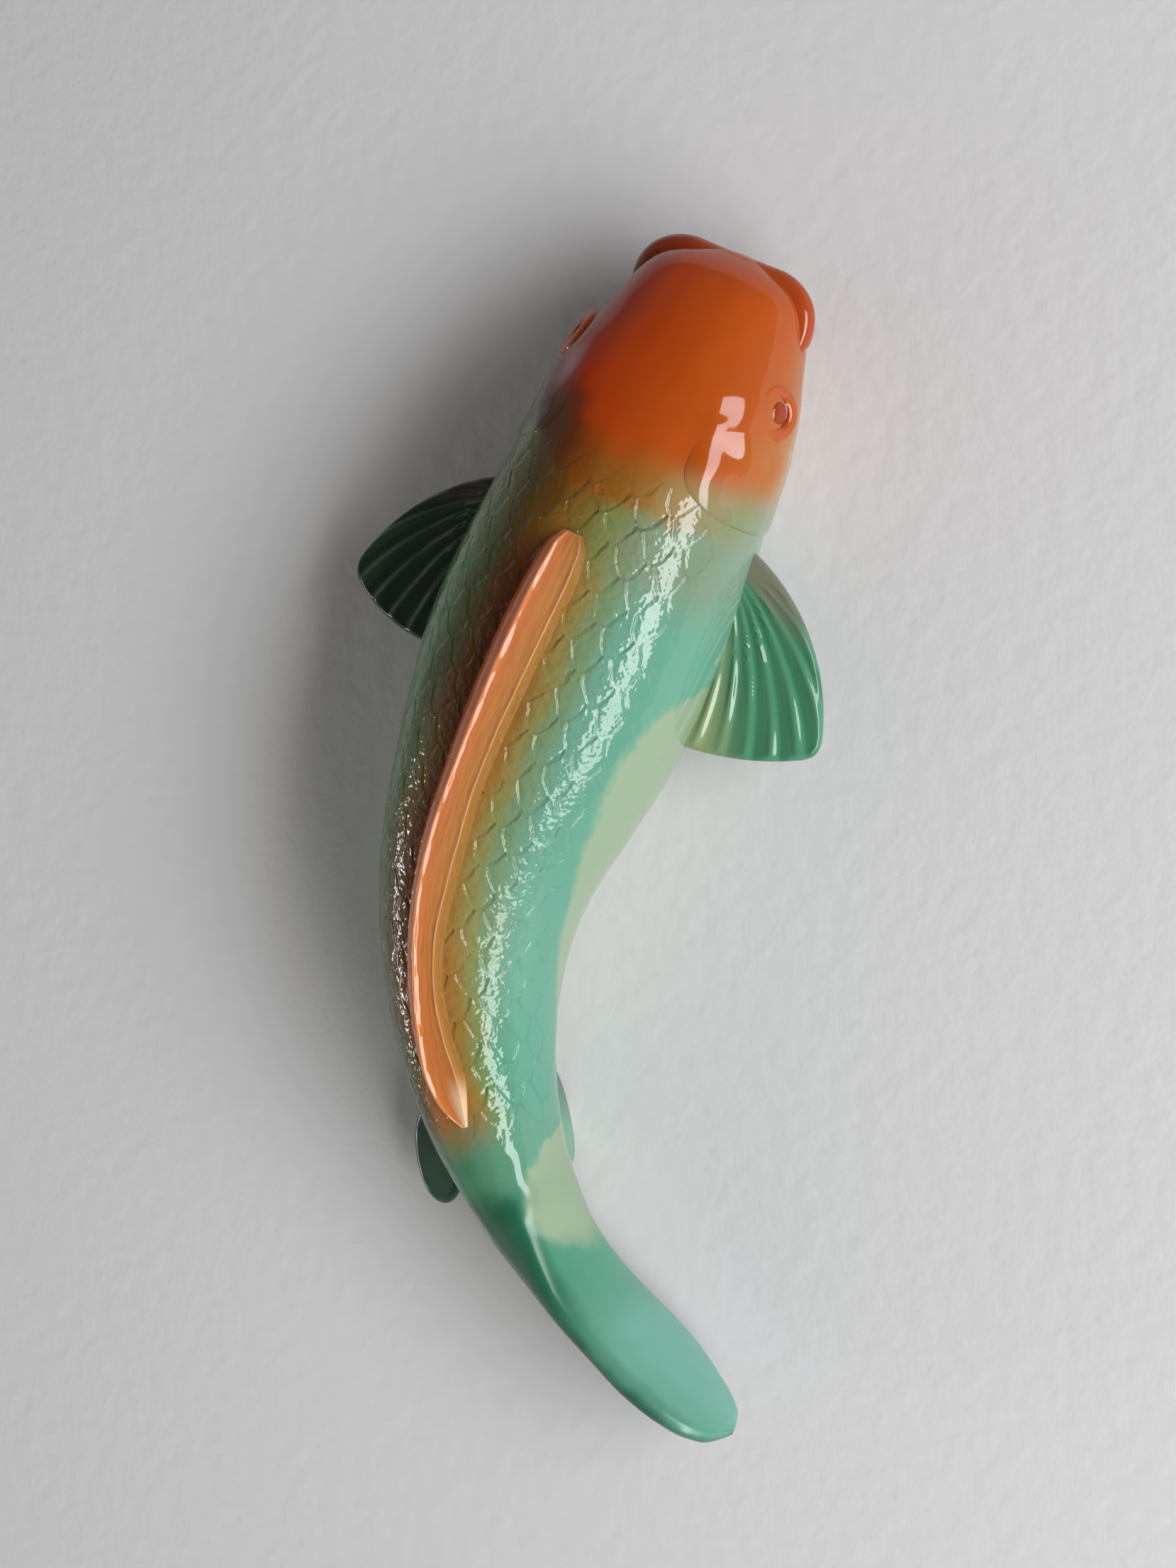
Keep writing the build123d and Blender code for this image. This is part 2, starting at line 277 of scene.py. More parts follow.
# Along the tail, over half its thickness, half its height and its middle, with the lean
tail_shares = [
    (0.12, 0.290, 0.490, 0.670, 14),
    (0.28, 0.200, 0.500, 0.640, 19),
    (0.48, 0.160, 0.500, 0.620, 22),
    (0.68, 0.140, 0.500, 0.620, 22),
    (0.82, 0.120, 0.430, 0.620, 21),
    (0.91, 0.100, 0.345, 0.600, 20),
    (0.965, 0.075, 0.235, 0.570, 20),
    (1.00, 0.035, 0.100, 0.540, 20),
]
share, thick, tall, centre, lean = np.array(tail_shares).T
section_rows = np.concatenate([
    np.array(body_shares) * (body_length, body_width, body_height, body_height, 1),
    np.stack([
        body_length + share * tail_length,
        thick * tail_height,
        (centre + tall) * tail_height,
        (centre - tall) * tail_height,
        lean,
    ], axis=1),
])
nose_tip = 0.0002
nose_depth = 0.006
nose_power = 2.4
tip_depth = 0.0022
full_length = body_length + tail_length
trial_angles = 900
weld_gap = 2e-7


def curve_through(places, values, at):
    """Smooth curve through values at places: between two of them a cubic, whose slope at
    each place is the mean slope of its neighbours."""
    slopes = np.gradient(values, places, axis=0)
    before = np.clip(np.searchsorted(places, at) - 1, 0, len(places) - 2)
    gap = (places[before + 1] - places[before])[..., None]
    part = (at - places[before])[..., None] / gap
    rise = part**2 * (3 - 2 * part)
    return (
        values[before] * (1 - rise)
        + values[before + 1] * rise
        + gap * part * (1 - part) ** 2 * slopes[before]
        + gap * part**2 * (part - 1) * slopes[before + 1]
    )


def ease(low, high, value):
    """Smooth step: 0 below low, 1 above high, with level ends."""
    part = np.clip((value - low) / (high - low), 0, 1)
    return part * part * (3 - 2 * part)


def centre_line(station):
    """Place and heading of the centre line on the table: straight, then an arc, then straight."""
    fore, bend = fore_share * full_length, bend_share * full_length
    radius = bend / bend_turn
    turned = heading + np.clip(station - fore, 0, bend) / radius
    ahead, beyond = np.minimum(station, fore), np.maximum(station - fore - bend, 0)
    x = snout_side + math.sin(heading) * ahead + radius * (math.cos(heading) - np.cos(turned))
    y = snout_ahead - math.cos(heading) * ahead - radius * (np.sin(turned) - math.sin(heading))
    return x + np.sin(turned) * beyond, y - np.cos(turned) * beyond, turned


def section_sizes(station, inset=0.0):
    """Half width, height above and below the widest level, that level and the lean, at each
    station. The snout closes as a quarter superellipse, and the end of the tail as a quarter ellipse."""
    sizes = curve_through(section_rows[:, 0], section_rows[:, 1:], np.maximum(station, section_rows[0, 0]))
    half_width, top, bottom, lean = np.moveaxis(sizes, -1, 0)
    middle = bottom + belly_share * (top - bottom)
    ahead = np.clip(1 - (station - nose_tip) / nose_depth, 0, 1)
    behind = np.clip(1 - (full_length - station) / tip_depth, 0, 1)
    close = (1 - ahead**nose_power) ** (1 / nose_power) * np.sqrt(1 - behind**2)
    above, below = (top - middle) * close - inset, (middle - bottom) * close - inset
    return half_width * close - inset, above, below, middle, np.radians(lean)


def rounded(share, power):
    """A share from -1 to 1 raised to a power, with its sign kept."""
    return np.sign(share) * np.abs(share) ** power


def on_section(station, angle, inset=0.0):
    """Points of a section: a superellipse in the angle, turned by the lean, across the centre
    line. Angle 0 is the fish's right and a quarter turn is its back."""
    half_width, above, below, middle, lean = [size[:, None] for size in section_sizes(station, inset)]
    power = 2 / squareness
    side = half_width * rounded(np.cos(angle), power)
    rise = np.where(np.sin(angle) > 0, above, below) * rounded(np.sin(angle), power)
    x, y, turned = [value[:, None] for value in centre_line(station)]
    across = side * np.cos(lean) - rise * np.sin(lean)
    up = side * np.sin(lean) + rise * np.cos(lean) + middle
    return np.stack([x + np.cos(turned) * across, y + np.sin(turned) * across, up], axis=-1)


def level_angle(station, level, side, inset=0.0):
    """Angle at which each section passes a level on one side, or straight down where the whole
    section lies above it."""
    trial = np.linspace(-math.pi / 2, math.pi / 4, trial_angles)
    angles = trial if side > 0 else math.pi - trial
    heights = on_section(station, np.broadcast_to(angles, (len(station), len(angles))), inset)[..., 2]
    below = (np.maximum.accumulate(heights, axis=1) < level).sum(axis=1)
    near = np.clip(below - 1, 0, len(trial) - 2)
    row = np.arange(len(station))
    low, high = heights[row, near], heights[row, near + 1]
    climb = np.where(high > low, high - low, 1)
    part = np.where(below > 0, np.clip((level - low) / climb, 0, 1), 0)
    found = trial[near] + part * (trial[1] - trial[0])
    return found if side > 0 else math.pi - found


def fan(first, last, count):
    """Rows of evenly spaced values between two columns of ends."""
    return first[:, None] + (last - first)[:, None] * np.linspace(0, 1, count)


def run_along(points):
    """Distance run along each row of points, from its first one."""
    steps = np.linalg.norm(np.diff(points, axis=-2), axis=-1)
    return np.concatenate([np.zeros_like(steps[..., :1]), np.cumsum(steps, axis=-1)], axis=-1)


def girth_from_back(points, top_column):
    """Distance round the section from the top of the back, positive on the fish's right."""
    run = run_along(points)
    return run[:, [top_column]] - run


def on_surface(station, around):
    """Surface coordinates: the station of each row and the distance round it."""
    return np.stack(np.broadcast_arrays(station[:, None], around), axis=-1)


def solid(name, points, surface, sharp=40.0):
    """Closed piece from rings of points: each ring joins the next, and both ends are filled
    from their middle. Its UV map holds the surface coordinates given with the points, in metres,
    and an edge that turns by more than the sharp angle, in degrees, is drawn sharp."""
    rows, columns, _ = points.shape
    vertices = np.concatenate([points.reshape(-1, 3), points[[0, -1]].mean(axis=1)])
    index = np.arange(rows * columns).reshape(rows, columns)
    beside = np.roll(index, -1, axis=1)
    quads = np.stack([index[:-1], beside[:-1], beside[1:], index[1:]], axis=-1).reshape(-1, 4)
    ends = [
        np.stack([np.full(columns, len(vertices) - 2), beside[0], index[0]], axis=-1),
        np.stack([np.full(columns, len(vertices) - 1), index[-1], beside[-1]], axis=-1),
    ]
    triangles = vertices[np.concatenate([quads[:, :3], quads[:, [0, 2, 3]], *ends])]
    volume = np.einsum("ij,ij->", triangles[:, 0], np.cross(triangles[:, 1], triangles[:, 2]))
    order = slice(None) if volume > 0 else slice(None, None, -1)
    mesh = bpy.data.meshes.new(name)
    mesh.from_pydata(vertices.tolist(), [], [face for f in (quads, *ends) for face in f[:, order].tolist()])
    place = np.concatenate([surface, surface[:, -1:] * 2 - surface[:, -2:-1]], axis=1)
    corners = np.stack([place[:-1, :-1], place[:-1, 1:], place[1:, 1:], place[1:, :-1]], axis=2)
    middles = np.broadcast_to(surface[[0, -1]].mean(axis=1)[:, None], (2, columns, 2))
    corner_sets = [
        corners.reshape(-1, 4, 2),
        np.stack([middles[0], place[0, 1:], place[0, :-1]], axis=1),
        np.stack([middles[1], place[-1, :-1], place[-1, 1:]], axis=1),
    ]
    flat = np.concatenate([corner[:, order].reshape(-1, 2) for corner in corner_sets])
    mesh.uv_layers.new(name="surface").data.foreach_set("uv", flat.astype(np.float32).ravel())
    merged = bmesh.new()
    merged.from_mesh(mesh)
    bmesh.ops.remove_doubles(merged, verts=merged.verts, dist=weld_gap)
    merged.to_mesh(mesh)
    merged.free()
    mesh.shade_smooth()
    mesh.set_sharp_from_angle(angle=math.radians(sharp))
    return put(name, mesh)


def shell(name, station, skin, girth, seam_turn, levels):
    """Half of the casting: its skin from rim to rim, and back along its inner wall, which is the
    section drawn in by the wall, kept between two levels. The hollow opens over a few millimetres
    at each end, and beyond them the rims meet in the flat seam."""
    from_left = level_angle(station, seam_height, -1, wall) + seam_turn
    bore = on_section(station, fan(from_left, level_angle(station, seam_height, 1, wall), bore_columns), wall)
    bore[..., 2] = np.maximum(bore[..., 2], levels[0])
    across = np.linspace(0, 1, bore_columns)[:, None]
    flat = skin[:, -1:] + (skin[:, :1] - skin[:, -1:]) * across
    opened = ease(*hollow_front, station) * (1 - ease(*hollow_rear, station))
    bore = flat + (bore - flat) * opened[:, None, None]
    bore[..., 2] = np.minimum(bore[..., 2], levels[1])
    around = np.hstack([girth, np.broadcast_to(girth[:, -1:], bore.shape[:2])])
    return solid(name, np.hstack([skin, bore]), on_surface(station, around))


# Scales lie in staggered rows. Each sinks to a soft trough at its free edge, towards the tail,
# and the next one rises beyond it.
scale_pitch = 0.00405
scale_width = 0.0069
scale_reach = 0.0066
scale_step = 0.00009
scale_soft = 0.0005
scale_spread = 0.0012
tip_share = 0.15
wobble = 0.0006
wobble_scale = 420.0
sway = 0.0004
sway_length = 0.0033
hollow_front = (0.006, 0.016)
hollow_rear = (0.128, 0.142)
bore_columns = 20
scaled_front = (0.036, 0.046)
scaled_rear = (0.15, 0.163)
scaled_flank = (0.014, 0.027)


def scale_lattice(along, around, shaky, sine, floor, root, pick):
    """Distance from the nearest scale edge, 1 on the scale that ends there or -1 on the one past
    it, and how far out from the tip of the scale that edge lies. Ring k of scales ends on
    parabolas k pitches along, and the first ring past a point owns it. The functions are
    numpy's for points, and those of shader nodes for values."""
    along, around = along + sway * sine(around / sway_length), around + sway * sine(along / sway_length)
    around = around + shaky
    base = floor((along - scale_reach) / scale_pitch)
    gap, out = [], []
    for ring in range(4):
        number = base + ring
        turn = around / scale_width + number / 2 - floor(number / 2)
        part = 2 * (turn - floor(turn)) - 1
        square = part * part
        ahead = number * scale_pitch + scale_reach * (1 - square) - along
        gap.append(ahead / root(1 + (4 * scale_reach / scale_width) ** 2 * square))
        out.append(square)
    nearer = gap[0] > gap[1]
    before, before_out = pick(nearer, gap[0], gap[1]), pick(nearer, out[0], out[1])
    nearer = before > gap[2]
    own, own_out = gap[3], out[3]
    past, past_out = pick(nearer, before, gap[2]), pick(nearer, before_out, out[2])
    for ring, behind, behind_out in ((2, before, before_out), (1, gap[0], out[0])):
        owns = gap[ring] > 0
        own, own_out = pick(owns, gap[ring], own), pick(owns, out[ring], own_out)
        past, past_out = pick(owns, behind, past), pick(owns, behind_out, past_out)
    on_own = own < -past
    return pick(on_own, own, -past), pick(on_own, 1.0, -1.0), pick(on_own, own_out, past_out)


def scaled(along, around):
    """1 where the body is carved with scales, fading out at the head, the tail and the belly."""
    return (
        ease(*scaled_front, along)
        * (1 - ease(*scaled_rear, along))
        * (1 - ease(*scaled_flank, np.abs(around)))
    )


fine_step = 0.00044
coarse_step = 0.0009
nose_rings = 16
back_columns = 100
stations = np.concatenate([
    nose_tip + nose_depth * (1 - np.cos(np.linspace(0, math.pi / 3, nose_rings)))[:-1],
    np.arange(nose_tip + nose_depth / 2, scaled_front[0], coarse_step),
    np.arange(scaled_front[0], scaled_rear[1], fine_step),
    np.arange(scaled_rear[1], body_length - coarse_step / 2, coarse_step),
    [body_length],
])
right_seam = level_angle(stations, seam_height, 1)
left_seam = level_angle(stations, seam_height, -1)
straight_up = np.full(len(stations), math.pi / 2)
right_angles = fan(right_seam, straight_up, back_columns)
angles = np.hstack([right_angles, fan(straight_up, left_seam, back_columns)[:, 1:]])
skin = on_section(stations, angles)
around = girth_from_back(skin, back_columns - 1)
along = np.broadcast_to(stations[:, None], around.shape)
outward = np.cross(np.gradient(skin, axis=1), np.gradient(skin, axis=0))
outward /= np.maximum(np.linalg.norm(outward, axis=2, keepdims=True), 1e-12)
near, side, out = scale_lattice(along, around, 0.0, np.sin, np.floor, np.sqrt, np.where)
lip = side * (1 - np.exp(-((near / scale_soft) ** 2))) * np.exp(-near / scale_spread)
lip = lip * (tip_share + (1 - tip_share) * out)
skin = skin - outward * (scaled(along, around) * scale_step * lip)[..., None]
back = shell("back_casting", stations, skin, around, 0.0, (seam_height, body_height))


def new_group(name, kind, outputs):
    """Empty node group, and the place along and around the body that it is given."""
    group = bpy.data.node_groups.new(name, "ShaderNodeTree")
    for given in ("Along", "Around"):
        group.interface.new_socket(given, in_out="INPUT", socket_type="NodeSocketFloat")
    for output in outputs:
        group.interface.new_socket(output, in_out="OUTPUT", socket_type=kind)
    along, around = list(make(group, "NodeGroupInput").outputs)[:2]
    return group, Value(along), Value(around)


def use_group(group, along, around):
    """Outputs of a node group at a place on the body."""
    return make(along.tree, "ShaderNodeGroup", {"Along": along, "Around": around}, node_tree=group).outputs


def wander(along, around, scale, reach):
    """Slow random drift of a value, as of an airbrush held by hand."""
    place = make(along.tree, "ShaderNodeCombineXYZ", {"X": along, "Y": around}).outputs[0]
    return 2 * reach * noise(along.tree, scale, detail=2.0, place=place) - reach


lattice, snout_way, back_way = new_group("scale lattice", "NodeSocketFloat", ("Edge", "Side", "Out", "Mask"))
shaky = wander(snout_way, back_way, wobble_scale, wobble)
functions = [partial(maths, operation) for operation in ("SINE", "FLOOR", "SQRT")]
near, side, out = scale_lattice(snout_way, back_way, shaky, *functions, pick)
carved = fade(snout_way, *scaled_front) * fade(snout_way, *scaled_rear[::-1])
carved *= fade(abs(back_way), *scaled_flank[::-1])
make(lattice, "NodeGroupOutput", {"Edge": near, "Side": side, "Out": out, "Mask": carved})


def ramp(value, stops):
    """Colour ramp over a value in metres. A stop is a place in millimetres and a display colour."""
    low, high = stops[0][0] / 1000, stops[-1][0] / 1000
    made = make(value.tree, "ShaderNodeValToRGB", {"Fac": fade(value, low, high, shape="LINEAR")})
    made.color_ramp.interpolation = "EASE"
    for _ in stops[2:]:
        made.color_ramp.elements.new(0.5)
    for element, stop in zip(made.color_ramp.elements, stops):
        element.position = (stop[0] / 1000 - low) / (high - low)
    for element, stop in zip(made.color_ramp.elements, stops):
        element.color = colour(*stop[1:])
    return made.outputs["Color"]


def lay(mask, under, over):
    """One colour over another, through a mask."""
    return make(mask.tree, "ShaderNodeMix", {0: mask, 6: under, 7: over}, data_type="RGBA").outputs[2]


drift_scale = 90.0
drift_reach = 0.0035
drift_lean = 0.6
spray_scale = 420.0
spray_reach = 0.0011
neck_sweep = 0.05
neck_shift = 0.006
neck_left = (-0.004, -0.012)
belly_reach = (0.055, 0.185)
belly_front = (0.058, 0.07)
belly_rear = (0.183, 0.176)
belly_girth = 0.05
belly_soft = 0.0014
cream = colour(146, 168, 139)


def fill_paint(group, from_snout, from_back):
    """Nodes of the group: colours across the back at several stations from the snout to the end
    of the tail, each sprayed softly into the next, and a cream belly with a ragged edge. On the
    fish's left the colours are darkened in part as painted shade."""
    drift = wander(from_snout, from_back, drift_scale, drift_reach)
    fine = wander(from_snout, from_back, spray_scale, spray_reach)
    soft_along, soft_around = from_snout + drift, from_back - drift_lean * drift
    along, around = soft_along + fine, soft_around + fine
    # Stops below zero lie on the fish's left, turned from the window: they are darker than the matching stops
    # on the right, in part as painted shade, and far down that side the greens also hold some painted sheen.
    head = [
        (-34, 70, 40, 20), (-22, 112, 36, 8), (-12, 160, 44, 6), (-5, 180, 64, 9), (2, 184, 73, 14),
        (8, 186, 80, 20), (16, 176, 80, 24), (26, 172, 98, 36), (38, 186, 150, 108), (50, 190, 160, 124),
    ]
    neck = [
        (-26, 96, 84, 56), (-13, 66, 36, 8), (-8, 92, 44, 6), (-4, 130, 70, 14), (0, 150, 89, 30),
        (4, 151, 95, 32), (8, 157, 110, 50), (12, 160, 134, 84), (18, 142, 136, 98), (24, 128, 138, 98),
        (30, 130, 147, 118), (38, 156, 166, 147),
    ]
    shoulder = [
        (-30, 86, 110, 80), (-16, 92, 100, 56), (-11, 74, 58, 14), (-6, 102, 66, 13), (-2, 135, 94, 33),
        (1, 132, 112, 50), (5, 130, 136, 80), (9, 130, 143, 106), (13, 132, 152, 126), (22, 118, 140, 114),
        (34, 126, 156, 136),
    ]
    front = [
        (-32, 88, 130, 92), (-18, 82, 122, 76), (-13, 56, 66, 18), (-8, 84, 46, 8), (-3, 128, 62, 22),
        (3, 156, 107, 44), (6, 149, 136, 76), (9, 122, 147, 106), (14, 108, 160, 138), (21, 98, 156, 133),
        (34, 105, 162, 139),
    ]
    middle = [
        (-32, 88, 130, 92), (-18, 84, 124, 80), (-13, 78, 94, 42), (-8, 108, 78, 22), (-5, 116, 64, 22),
        (-2, 180, 98, 34), (3, 164, 126, 60), (6, 146, 142, 84), (9, 118, 148, 110), (14, 106, 160, 138),
        (21, 96, 156, 134), (34, 104, 162, 142),
    ]
    rear = [
        (-30, 84, 130, 92), (-14, 60, 94, 48), (-8, 86, 82, 32), (-4, 172, 106, 38), (0.5, 164, 104, 44),
        (3.5, 150, 122, 58), (6, 118, 138, 84), (9, 88, 150, 122), (14, 92, 158, 137), (30, 98, 158, 138),
    ]
    stalk = [
        (-22, 62, 124, 100), (-8, 60, 132, 96), (-2, 66, 128, 92), (1, 88, 140, 112), (4, 92, 146, 118),
        (12, 98, 154, 131), (26, 104, 158, 138),
    ]
    stem = [
        (-20, 46, 96, 76), (-3, 46, 98, 70), (0, 40, 98, 72), (3, 42, 110, 82), (6, 70, 142, 114),
        (12, 80, 150, 122), (24, 106, 166, 142),
    ]
    paddle = [
        (-20, 56, 110, 90), (-3, 50, 104, 80), (-0.6, 46, 96, 76), (1.6, 88, 152, 130), (4, 110, 174, 153),
        (10, 118, 181, 164), (24, 128, 184, 168),
    ]
    # On the fish's left the darker neck colours start sooner, which adds to the painted shade there.
    neck_place = soft_along + neck_sweep * abs(soft_around) + neck_shift * fade(soft_around, *neck_left)
    shade = ramp(soft_around, head)
    for stops, place, starts, ends in (
        (neck, neck_place, 0.0335, 0.0415), (shoulder, neck_place, 0.0435, 0.0468),
        (front, soft_along, 0.05, 0.062), (middle, soft_along, 0.078, 0.1), (rear, soft_along, 0.118, 0.146),
        (stalk, soft_along, 0.15, 0.16), (stem, along, 0.163, 0.169), (paddle, soft_along, 0.182, 0.2),
    ):
        shade = lay(fade(place, starts, ends), shade, ramp(soft_around, stops))
    share = fade(along, *belly_reach, shape="LINEAR")
    edge = make(group, "ShaderNodeFloatCurve", {"Value": share})
    curve = edge.mapping.curves[0]
    curve.points[0].location = (0.0, 0.95)
    curve.points[1].location = (1.0, 0.7)
    # Share of the belly's reach along the body, and share of the full girth where the cream starts
    for place, girth in (
        (0.075, 0.82), (0.12, 0.6), (0.2, 0.46), (0.3, 0.45), (0.42, 0.5), (0.55, 0.53), (0.68, 0.56),
        (0.78, 0.5), (0.83, 0.2), (0.9, 0.1), (0.95, 0.15),
    ):
        curve.points.new(place, girth)
    belly = fade(abs(around) - belly_girth * Value(edge.outputs[0]), -belly_soft, belly_soft)
    belly *= fade(from_snout, *belly_front) * fade(along, *belly_rear)
    make(group, "NodeGroupOutput", {"Color": lay(belly, shade, cream)})


paint, snout_way, back_way = new_group("airbrushed body and painted shade", "NodeSocketColor", ("Color",))
fill_paint(paint, snout_way, back_way)
groove_width = 0.0003
lip_soft = 0.0002
lip_spread = 0.0006
lip_depth = 0.00034
groove_colour = colour(40, 60, 34)
groove_shares = (0.42, 0.1)
groove_fades = (0.046, 0.058)
worn_scale = 330.0
worn_lip = (0.18, 0.5)
worn_groove = (0.42, 0.6)
ripple_depth = 0.0002
ripple_scale = 850.0
cheek_middle = (0.0285, 0.0145)
cheek_reach = (0.008, 0.006)
cheek_depth = 0.0012
dent_scale = 165.0
stalk_middle = (0.1635, 0.0052)
stalk_reach = (0.004, 0.004)
stalk_share = 0.6
crease_along = (0.157, 0.184)
crease_side = (0.0051, 0.0019)
crease_soft = 0.0003
crease_reach = 0.005
crease_slope = 0.26
crease_starts = (0.166, 0.172)
satin_starts = 0.163
satin_ends = 0.174
wet_roughness = 0.07
satin_roughness = 0.26
wave_scale = 170.0
wave_depth = 0.0002
glass_index = 1.5
clay_level = 0.0005
clay_soft = 0.0002
clay_roughness = 0.8
clay = colour(204, 190, 170)


def surface_place(tree):
    """Surface coordinates of a piece: along, around."""
    place = make(tree, "ShaderNodeUVMap", uv_map="surface").outputs[0]
    along, around, _ = make(tree, "ShaderNodeSeparateXYZ", {"Vector": place}).outputs
    return Value(along), Value(around)


def glaze(tree, shade, height=None, depth=0.0, roughness=wet_roughness):
    """Thick clear glaze over a colour, with the slight waviness that it fires with. The foot is
    wiped bare, and height raises the surface by up to the depth."""
    place = make(tree, "ShaderNodeTexCoord").outputs["Object"]
    level = Value(make(tree, "ShaderNodeSeparateXYZ", {"Vector": place}).outputs["Z"])
    bare = fade(level, clay_level + clay_soft, clay_level)
    raised = {"Strength": 1.0, "Distance": wave_depth, "Height": noise(tree, wave_scale, detail=1.0)}
    normal = make(tree, "ShaderNodeBump", raised).outputs[0]
    if height is not None:
        raised = {"Strength": 1.0, "Distance": depth, "Height": height, "Normal": normal}
        normal = make(tree, "ShaderNodeBump", raised).outputs[0]
    feed(tree, tree.nodes["Principled BSDF"], {
        "Normal": normal,
        "Base Color": lay(bare, shade, clay),
        "Roughness": fade(bare, 0.0, 1.0, roughness, clay_roughness, "LINEAR"),
        "IOR": glass_index,
    })


def crease(along, around, depth):
    """Height of the soft roof shape along the stalk and the tail, as a share of the depth."""
    off = around - fade(along, *crease_along, *crease_side, "LINEAR")
    roof = maths("EXPONENT", maths("SQRT", off * off + crease_soft**2) / -crease_reach)
    return roof * fade(along, *crease_starts) * (crease_slope * crease_reach / depth)


def satin(along):
    """Roughness of the glaze along the body: wet to the stalk, and satin on the tail."""
    return fade(along, satin_starts, satin_ends, wet_roughness, satin_roughness)


def bell(value, width):
    """Bell curve of a value: 1 at zero, falling away over the width."""
    part = value / width
    return maths("EXPONENT", -(part * part))


def spot(along, beside, middle, reach):
    """Soft round spot on the surface: 1 at its middle."""
    return bell(along - middle[0], reach[0]) * bell(beside - middle[1], reach[1])


scaled_glaze, tree = new_material("carved and glazed body")
along_body, around_body = surface_place(tree)
painted = use_group(paint, along_body, around_body)[0]
near, side, out, carved = map(Value, use_group(lattice, along_body, around_body))
worn = noise(tree, worn_scale, detail=1.0)
lip = (1 - bell(near, lip_soft)) * maths("EXPONENT", near / -lip_spread) * side * carved
lip *= fade(worn, *worn_lip) * (tip_share + (1 - tip_share) * out)
groove = bell(near, groove_width) * carved * fade(worn, *worn_groove)
groove *= fade(along_body, *groove_fades, *groove_shares, "LINEAR")
ripple = noise(tree, ripple_scale, detail=1.0) * carved * (ripple_depth / lip_depth)
dented = spot(along_body, abs(around_body), cheek_middle, cheek_reach)
dented += stalk_share * spot(along_body, around_body, stalk_middle, stalk_reach)
height = ripple - lip + noise(tree, dent_scale, detail=0.0) * dented * (cheek_depth / lip_depth)
height += crease(along_body, around_body, lip_depth)
glaze(tree, lay(groove, painted, groove_colour), height, lip_depth, satin(along_body))
back.data.materials.append(scaled_glaze)
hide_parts("back_shell")
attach(back, "root")


# The belly shell is the lower half of the casting, below the seam. It stands on a flat foot of
# bare clay, with the round vent that lets the hollow breathe in the kiln.
vent_share = 0.407
vent_radius = 0.003
vent_sides = 64
belly_columns = 90
seam_slack = 0.0001
lowest = on_section(stations, np.full((len(stations), 1), -math.pi / 2))[:, 0, 2]
meets_seam = lowest < seam_height - seam_slack
low_stations = stations[meets_seam & (stations > section_rows[0, 0])][::2]
low_stations = np.append(low_stations[low_stations < body_length - coarse_step / 2], body_length)
from_seam = level_angle(low_stations, seam_height, 1)
to_seam = level_angle(low_stations, seam_height, -1)
skin = on_section(low_stations, fan(from_seam, to_seam - 2 * math.pi, 2 * belly_columns))
skin[..., 2] = np.clip(skin[..., 2], 0, seam_height)
seam_girth = np.stack([np.interp(low_stations, stations, around[:, column]) for column in (0, -1)], axis=1)
down = run_along(skin)
on_right = np.arange(2 * belly_columns) < belly_columns
girth = np.where(on_right, seam_girth[:, :1] + down, seam_girth[:, 1:] - down[:, -1:] + down)
belly = shell("belly_casting", low_stations, skin, girth, -2 * math.pi, (wall, seam_height))
vent_x, vent_y, _ = centre_line(np.array([vent_share * body_length]))
bpy.ops.mesh.primitive_cylinder_add(
    vertices=vent_sides, radius=vent_radius, depth=2 * seam_height, location=(vent_x[0], vent_y[0], 0)
)
drill = bpy.context.object
hole = belly.modifiers.new("vent", "BOOLEAN")
hole.operation = "DIFFERENCE"
hole.object = drill
with bpy.context.temp_override(object=belly, active_object=belly):
    bpy.ops.object.modifier_apply(modifier=hole.name)
bpy.data.objects.remove(drill)
belly.data.materials.append(scaled_glaze)
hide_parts("belly_shell")
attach(belly, "root")


# The tail fin is a solid paddle, thick at the stalk and leaning over at its end. A low crest
# runs down its back.
tail_columns = 96
crest_height = 0.0003
crest_width = 0.0016
crest_starts = (0.172, 0.19)
crest_ends = (0.212, 0.219)
tail_step = 0.0006
tip_rings = 10
tail_stations = np.concatenate([
    np.arange(body_length, full_length - tip_depth, tail_step),
    full_length - tip_depth * np.cos(np.linspace(0, math.pi / 2, tip_rings)),
])
full_turn = np.linspace(-math.pi / 2, 3 * math.pi / 2, tail_columns, endpoint=False)
skin = on_section(tail_stations, np.broadcast_to(full_turn, (len(tail_stations), tail_columns)))
girth = girth_from_back(skin, tail_columns // 2)
centre = skin.mean(axis=1, keepdims=True)
outward = (skin - centre) / np.maximum(np.linalg.norm(skin - centre, axis=2, keepdims=True), 1e-9)
fades = ease(*crest_starts, tail_stations) * (1 - ease(*crest_ends, tail_stations))
crest = crest_height * np.exp(-((girth / crest_width) ** 2)) * fades[:, None]
tail = solid("tail_fin_paddle", skin + outward * crest[..., None], on_surface(tail_stations, girth))
tail_glaze, tree = new_material("green tail glaze")
along_tail, around_tail = surface_place(tree)
painted = use_group(paint, along_tail, around_tail)[0]
glaze(tree, painted, crease(along_tail, around_tail, lip_depth), lip_depth, satin(along_tail))
tail.data.materials.append(tail_glaze)
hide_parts("tail_fin")
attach(tail, "root")


# The dorsal fin is a long low ridge along the back, with a thin raised rim down each side of
# its hollow top. Its glaze breaks to a paler orange over the rims. At its tail end the right half
# turns cream: paler glaze there, lightened further as a painted highlight.
dorsal_front = 0.0515
dorsal_rear = 0.1537
dorsal_sunk = 0.003
rim_height = 0.00024
dish_depth = 0.00022
rim_width = 0.0006
streak_depth = 0.00017
streak_scale = (240.0, 9.0)
deeper_along = (0.1, 0.14)
end_highlight_along = (0.144, 0.15)
end_highlight_across = (0.5, 0.75)
rim_face = 0.012
right_rim_share = 0.5
rim_rise = 0.002
hand_share = 0.35
hand_lengths = (0.0041, 0.0013)
